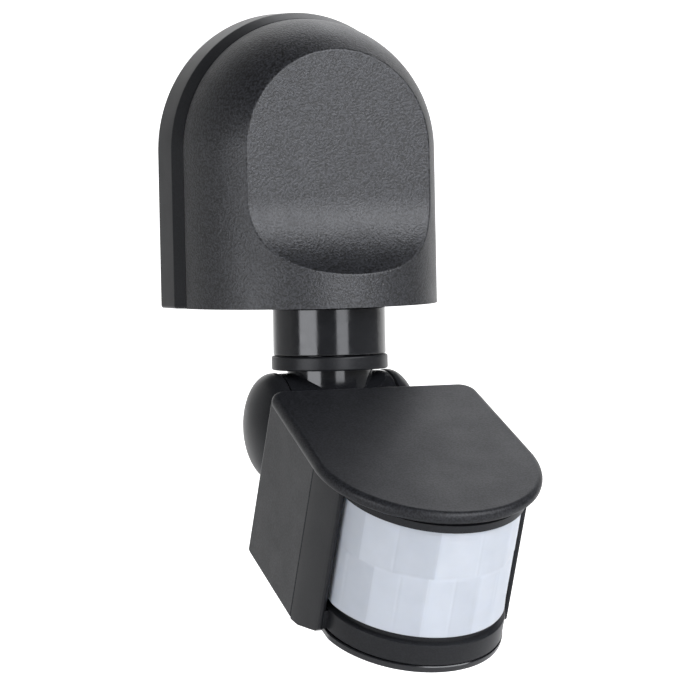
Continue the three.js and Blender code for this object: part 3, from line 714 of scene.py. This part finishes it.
def lug(side):
    """A flat hinge arm with a round end, on the inside of the end cap."""
    x0, x1 = sorted((side * LUG_IN, side * LUG_OUT))
    lower = math.degrees(math.asin(ARM / 13))
    outline = [(BACK - 0.6, ARM), (BACK - 0.6, -ARM)] + arc(0, 0, 13, -180 + lower, 180 - lower, 48)
    return sideways(outline, x0, x1)


def head_housing():
    def wall(inset, lift):
        return [(x, y, floor_z(y) + lift) for x, y in housing_plan(inset)]
    top = [(x, y, LID_BOTTOM + 1) for x, y in housing_plan(0)]
    shell = loft([wall(0.7, 0), wall(0.2, 0.2), wall(0, 0.7), top])
    room_plan = housing_plan(0, HALF - WALL, BACK - WALL, SEAM - 2, 1.0)
    room = loft([[(x, y, floor_z(y) + WALL) for x, y in room_plan],
                 [(x, y, LID_BOTTOM + 1.8) for x, y in room_plan]])
    bolt = turned_to(rod(2.3, -30, 30), "X")
    lead_way = moved(turned_to(rod(4.2, 20, 30), "Y"), z=-2.4)
    solid = cut(join(shell, lid(), lug(-1), lug(1)), room, bolt, lead_way)
    piece("head_housing_fine", solid, HEAD_FRAME, "head", "head_shell", sharp=30)


def end_cap(side, name):
    """The domed cap over a hinge lug, with its mouth notched for the lug's arm."""
    mouth, pole, radius = 16.7, CAP[1].x, 15.7
    shoulder = mouth + 1
    power = 2.0
    profile = [(0, mouth), (radius - 0.3, mouth), (radius, mouth + 0.3)]
    for i in range(17):
        t = math.sin(math.pi / 2 * i / 16)
        r = 0 if i == 16 else radius * (1 - t ** power) ** (1 / power)
        profile.append((r, shoulder + (pole - shoulder) * t))
    dome = lathe(profile, segments=128)
    rooms = [
        rod(13.3, mouth - 1, LUG_OUT + 0.3),
        rod(5.6, LUG_OUT, LUG_OUT + 3.4),
        block(-ARM - 0.3, ARM + 0.3, -30, 0, mouth - 1, LUG_OUT + 0.3),
    ]
    solid = cut(dome, *rooms)
    bm = bmesh.new()
    bm.from_mesh(solid.data)
    bpy.data.objects.remove(solid)
    turned_to(bm, "X")
    if side < 0:
        mirrored(bm)
    piece(name + "_fine", bm, HEAD_FRAME, "head", "satin_black", sharp=30)


# The lens's facets: columns of the upper and lower rows, as edges in degrees from straight ahead.
LENS_R = 26.3
LENS_CENTRE = -70.7
ROW_SPLIT = 0.55
UPPER_EDGES = [-64, -40, -14, 14, 40, 64]
LOWER_EDGES = [-72, -52, -34, -17, 0, 17, 34, 52, 72]

CHEEK_FRONT = -75.0
CHEEK_HALF = 28.9
CHEEK_THICK = 1.9


def cheek(side):
    """A side flank of the bezel: straight from the seam, then curving in towards the lens."""
    seam = SEAM - 0.3
    bend = 10

    def edge(offset, front):
        out = []
        for i in range(bend + 1):
            t = i / bend
            y = seam + (front - seam) * t
            out.append((HALF - offset - (HALF - CHEEK_HALF) * t ** 1.25, y))
        return out
    outer = edge(0, CHEEK_FRONT + 0.5)
    nose = [(CHEEK_HALF - 0.15, CHEEK_FRONT + 0.15), (CHEEK_HALF - 0.5, CHEEK_FRONT)]
    nose += [(CHEEK_HALF - 0.9, CHEEK_FRONT), (CHEEK_HALF - CHEEK_THICK + 0.4, CHEEK_FRONT + 0.3)]
    inner = edge(CHEEK_THICK, CHEEK_FRONT + 0.8)[::-1]
    plan = [(side * x, y) for x, y in outer + nose + inner]
    wall = loft([[(x, y, z) for x, y in plan] for z in (-32, LID_BOTTOM - 0.3)])
    front = CHEEK_FRONT - 2
    top = LID_BOTTOM
    profile = [(seam + 2, top), (seam + 2, -27.9), (seam, -27.9), (-64.9, -27.6), (-69.4, -26.1)]
    profile += [(-73.8, -24.6), (-75.0, -23.4), (-75.5, -20.5), (front, -19.5), (front, top)]
    return keep_inside(wall, sideways(profile, -40, 40))


BAND_BOTTOM = -23.6
POST_TOP = -18.0  # top of the screw posts and of the webs behind the band
WEB_OUTER = 29.4  # how far the webs reach into the flanks


def front_bezel():
    band_r = 26.3
    top = LENS[1].z + 0.3
    bottom = BAND_BOTTOM
    roof_levels = [(0, top), (0, LID_BOTTOM - GAP)]
    roof = upright(lambda inset: bullet(26.6 - inset, -74, LENS_CENTRE, 27.1 - inset), roof_levels)
    ledge = LENS[0].z - 0.3
    levels = [(1.9, ledge), (1.8, ledge - 1.4), (0.4, ledge - 1.7), (0.1, ledge - 1.85), (0, ledge - 2.2)]
    levels.append((0, bottom + 0.3))
    levels.append((0.3, bottom))
    band = upright(lambda inset: bullet(band_r - inset, -70, -72, band_r - inset), levels)
    hollow = upright(lambda inset: bullet(23.5, -60, -72, 23.5), [(0, -40), (0, ledge + 1)])
    band = cut(band, hollow)
    parts = [cheek(-1), cheek(1), roof]
    for side in (-1, 1):
        x0, x1 = sorted((side * 26.2, side * WEB_OUTER))
        parts.append(block(x0, x1, -71.4, -69.4, POST_TOP, top + 0.5))
        x0, x1 = sorted((side * 24.5, side * 28.8))
        parts.append(block(x0, x1, -74.6, -70, bottom, POST_TOP))
        x0, x1 = sorted((side * 26.9, side * 28.5))
        parts.append(block(x0, x1, SEAM - 7, SEAM + 7.5, -9, 9))
    bores = []
    for x, y in screw_centres():
        parts.append(rod(3, bottom + 0.2, POST_TOP, x, y))
        bores.append(rod(1.35, bottom - 1, POST_TOP - 0.8, x, y, 32))
        if y > -70:  # a rear post is tied to its flank
            x0, x1 = sorted((x, math.copysign(WEB_OUTER, x)))
            parts.append(block(x0, x1, y - 1, y + 1, bottom + 0.2, POST_TOP))
    solid = cut(join(band, *parts), *bores)
    piece("front_bezel_fine", solid, HEAD_FRAME, "head", "satin_black", sharp=30)


def facet_at(angle, up):
    """The facet's row and column at a place on the lens, and its edges in degrees."""
    edges = UPPER_EDGES if up > ROW_SPLIT else LOWER_EDGES
    column = sum(angle > edge for edge in edges)
    ends = [-90] + edges + [90]
    return (up > ROW_SPLIT, column), ends[column], ends[column + 1]


def lens_relief(angle, up):
    """How far the lens's surface sinks at a place: each facet is a flat, with grooves between."""
    facet, start, end = facet_at(angle, up)
    step_line = abs(up - ROW_SPLIT) / 0.012
    groove = 0.10 * math.exp(-step_line ** 2)
    edge = min(angle - start, end - angle)
    groove = max(groove, 0.10 * math.exp(-(edge / 0.8) ** 2))
    half = min(math.radians(end - start) / 2, 0.3)
    off_middle = math.radians(angle - (start + end) / 2)
    flat = 0.35 * LENS_R * (1 - math.cos(half)) * (1 - (off_middle / half) ** 2)
    return groove + max(flat, 0)


def fresnel_lens():
    z0, z1 = LENS[0].z, LENS[1].z
    half_angle = 80.0
    columns, rows = 200, 72
    side_y = [LENS[1].y, LENS[1].y - 1.2, LENS[1].y - 2.4]
    thick = 0.9
    loops = []
    painted_shades = []
    for j in range(rows + 1):
        up = j / rows
        z = z0 + (z1 - z0) * up
        outer = []
        inner = []
        shade = []
        for i in range(columns + 1):
            angle = -half_angle + 2 * half_angle * i / columns
            a = math.radians(angle)
            fade = min(1, 12 * up, 12 * (1 - up))
            r = LENS_R - 0.02 - lens_relief(angle, up) * fade
            outer.append((r * math.sin(a), LENS_CENTRE - r * math.cos(a), z))
            r_in = LENS_R - thick
            inner.append((r_in * math.sin(a), LENS_CENTRE - r_in * math.cos(a), z))
            # each outer vertex stores its facet's painted shade; the sides and the inner face get an even 0.5
            shade.append(facet_painted_shade(angle, up))
        right = [(LENS_R * math.sin(math.radians(half_angle)), y, z) for y in side_y[::-1]]
        right_in = [(right[0][0] - thick, y, z) for y in side_y]
        left = [(-x, y, z) for x, y, z in right[::-1]]
        left_in = [(-x, y, z) for x, y, z in right_in[::-1]]
        loops.append(outer + right + right_in + inner[::-1] + left_in + left)
        painted_shades += shade + [0.5] * (len(loops[0]) - len(shade))
    bm = loft(loops)
    # the facet attribute carries the painted facet shade that the lens material turns into colour
    layer = bm.verts.layers.float.new("facet")
    for vertex, shade in zip(bm.verts, painted_shades):
        vertex[layer] = shade
    piece("fresnel_lens_fine", bm, HEAD_FRAME, "head", "lens", sharp=40)


def facet_painted_shade(angle, up):
    """Painted shade of a facet, from 0 (lightest) to 1 (darkest), standing in for how each facet catches the
    light: neighbours alternate, and each facet grows darker from its edge at the smaller angle to its edge at the
    larger angle.
    """
    (upper, column), start, end = facet_at(angle, up)
    # painted shade for each column, alternating lighter and darker facets
    steps = (0.75, 0.2, 1.0, 0.1, 0.55, 0.35) if upper else (0.3, 0.75, 0.15, 0.55, 0.0, 0.6, 0.25)
    across = (angle - start) / (end - start)
    return 0.75 * steps[column % len(steps)] + 0.25 * across


def knob_centres():
    for use in ("time", "light", "range"):
        low, high = local_box(use + "_knob", HEAD_FRAME)
        yield use, (low.x + high.x) / 2, (low.y + high.y) / 2, low.z, high.z


def screw_centres():
    for i in range(1, 5):
        low, high = local_box(f"bottom_screw_{i}", HEAD_FRAME)
        yield (low.x + high.x) / 2, (low.y + high.y) / 2


def bottom_cover():
    z0, z1 = BASE[0].z, BASE[1].z
    levels = [(0.25, z1), (0, z1 - 0.25), (0, z0 + 0.9), (0.25, z0 + 0.35), (0.8, z0)]
    plate = upright(lambda inset: bullet(26.3 - inset, SEAM - 0.7, -71.4, 26.8 - inset, 1.0), levels)
    holes = [rod(4.3, z0 - 1, z1 + 1, x, y) for use, x, y, low, high in knob_centres()]
    for x, y in screw_centres():
        holes.append(rod(1.5, z0 - 1, z1 + 1, x, y, 32))
        holes.append(rod(2.7, z0 - 1, z0 + 0.9, x, y, 48))
    piece("bottom_cover_fine", cut(plate, *holes), HEAD_FRAME, "head", "gloss_black")


def adjusting_knobs():
    for use, x, y, z0, z1 in knob_centres():
        radius = 4.0
        flutes = 24
        loops = []
        levels = [(0.5, z0), (0.15, z0 + 0.15), (0, z0 + 0.5), (0, z1)]
        for inset, z in levels:
            loop = []
            for i in range(flutes * 6):
                a = 2 * math.pi * i / (flutes * 6)
                r = radius - inset - 0.12 * (1 + math.cos(flutes * a)) / 2
                loop.append((x + r * math.cos(a), y + r * math.sin(a), z))
            loops.append(loop)
        slot = block(x - 3, x + 3, y - 0.6, y + 0.6, z0 - 1, z0 + 1.4)
        name = use + "_knob"
        piece(name + "_fine", cut(loft(loops), slot), HEAD_FRAME, name, "dark_plastic", sharp=30)


# ---------- inner CAD nodes ----------
def dress_cad_nodes():
    """The inner pieces keep their CAD shape and get their slot's material."""
    for part in frame["record"]["subparts"]:
        mesh = NODES[part["node"]].data
        mesh.materials.clear()
        mesh.materials.append(MATERIALS[part["material_slot"]])


# ---------- studio ----------
def emitter(name, azimuth, height, distance, width, tall, strength, tone=(0.94, 0.955, 1)):
    """A softbox aimed at the object. Azimuth 0 is straight in front of the wall, + is to the right."""
    a = math.radians(azimuth)
    aim = Vector((0, NECK_Y, -60)) * MM
    place = aim + Vector((math.sin(a) * distance, -math.cos(a) * distance, height))
    light = bpy.data.lights.new(name, "AREA")
    light.shape = "RECTANGLE"
    light.size = width
    light.size_y = tall
    light.energy = strength
    light.color = tone
    obj = bpy.data.objects.new(name, light)
    obj.location = place
    obj.rotation_euler = (aim - place).to_track_quat("-Z", "Y").to_euler()
    obj.visible_camera = False
    bpy.context.scene.collection.objects.link(obj)


def camera():
    """A long lens, to the object's left and a little above it."""
    turn, pitch, roll = math.radians(24.306), math.radians(2.49), math.radians(-1.152)
    forward = Vector((math.sin(turn) * math.cos(pitch), math.cos(turn) * math.cos(pitch), -math.sin(pitch)))
    right = Vector((math.cos(turn), -math.sin(turn), 0))
    up = right.cross(forward)
    image_right = right * math.cos(roll) + up * math.sin(roll)
    image_up = up * math.cos(roll) - right * math.sin(roll)
    matrix = Matrix((image_right, image_up, -forward)).transposed().to_4x4()
    matrix.translation = Vector((-628.6, -1436.4, 8.9)) * MM
    lens = bpy.data.cameras.new("camera")
    lens.sensor_width = 36
    lens.lens = 274.1
    lens.clip_start = 0.05
    obj = bpy.data.objects.new("camera", lens)
    obj.matrix_world = matrix
    bpy.context.scene.collection.objects.link(obj)
    bpy.context.scene.camera = obj


def backdrop():
    """A plain pale floor that curves up into a wall far behind the object, dimmer at the front left."""
    floor = CAD_BOX[0].z - 0.12
    depth, radius, height, half = 3.6, 1.2, 5.0, 9.0
    profile = [(-9.0, floor), (depth - radius, floor)]
    profile += [(depth - radius + radius * math.sin(a), floor + radius * (1 - math.cos(a)))
                for a in [math.pi / 2 * i / 24 for i in range(1, 25)]]
    profile.append((depth, height))
    bm = bmesh.new()
    rows = [[bm.verts.new((x, y, z)) for x in (-half, half)] for y, z in profile]
    for row, following in zip(rows, rows[1:]):
        face = bm.faces.new((row[0], row[1], following[1], following[0]))
        face.smooth = True
    mesh = bpy.data.meshes.new("floor")
    bm.to_mesh(mesh)
    bm.free()
    finish = bpy.data.materials.new("floor")
    finish.use_nodes = True
    shader = finish.node_tree.nodes["Principled BSDF"]
    shader.inputs["Base Color"].default_value = (0.9, 0.9, 0.9, 1)
    shader.inputs["Roughness"].default_value = 0.9
    shader.inputs["Emission Color"].default_value = (1, 1, 1, 1)
    tree = finish.node_tree
    axes = tree.nodes.new("ShaderNodeSeparateXYZ")
    tree.links.new(tree.nodes.new("ShaderNodeTexCoord").outputs["Object"], axes.inputs["Vector"])
    product = tree.nodes.new("ShaderNodeMath")
    product.operation = "MULTIPLY"
    for i, (axis, start, end, dim) in enumerate((("X", -1.3, 0.15, 0.3), ("Y", 0.1, 0.8, 0.15))):
        glow = tree.nodes.new("ShaderNodeMapRange")
        glow.inputs["From Min"].default_value = start
        glow.inputs["From Max"].default_value = end
        glow.inputs["To Min"].default_value = dim
        tree.links.new(axes.outputs[axis], glow.inputs["Value"])
        tree.links.new(glow.outputs["Result"], product.inputs[i])
    tree.links.new(product.outputs["Value"], shader.inputs["Emission Strength"])
    mesh.materials.append(finish)
    obj = bpy.data.objects.new("floor", mesh)
    bpy.context.scene.collection.objects.link(obj)


def sky(strength):
    world = bpy.data.worlds.new("studio")
    bpy.context.scene.world = world
    world.use_nodes = True
    shade = world.node_tree.nodes["Background"]
    shade.inputs["Color"].default_value = (1, 1, 1, 1)
    shade.inputs["Strength"].default_value = strength


def studio():
    bpy.context.scene.view_settings.view_transform = "Standard"
    sky(0.05)
    emitter("left_softbox", -68, 0.0, 1.1, 0.75, 0.35, 4.6)
    emitter("right_softbox", 3, 0.1, 1.3, 0.55, 1.0, 7.8)
    emitter("side_softbox", 28, 0.66, 1.15, 1.0, 0.8, 17)
    emitter("rear_softbox", 140, 0.95, 0.95, 0.8, 0.8, 2.5)


camera()
studio()
backdrop()
dress_cad_nodes()
base_plate()
wall_gasket()
cable_grommet()
front_cover()
for number in (1, 2):
    screw(f"cover_screw_{number}_fine", f"cover_screw_{number}", 2.9, 1.0, 1.4, WALL_FRAME, "wall_box", 0.6)
neck_tube()
collar_ring()
swivel_knuckle()
head_housing()
end_cap(-1, "left_end_cap")
end_cap(1, "right_end_cap")
front_bezel()
fresnel_lens()
bottom_cover()
for number in range(1, 5):
    screw(f"bottom_screw_{number}_fine", f"bottom_screw_{number}", 2.4, 0.75, 1.15, HEAD_FRAME, "head", 0.4)
adjusting_knobs()
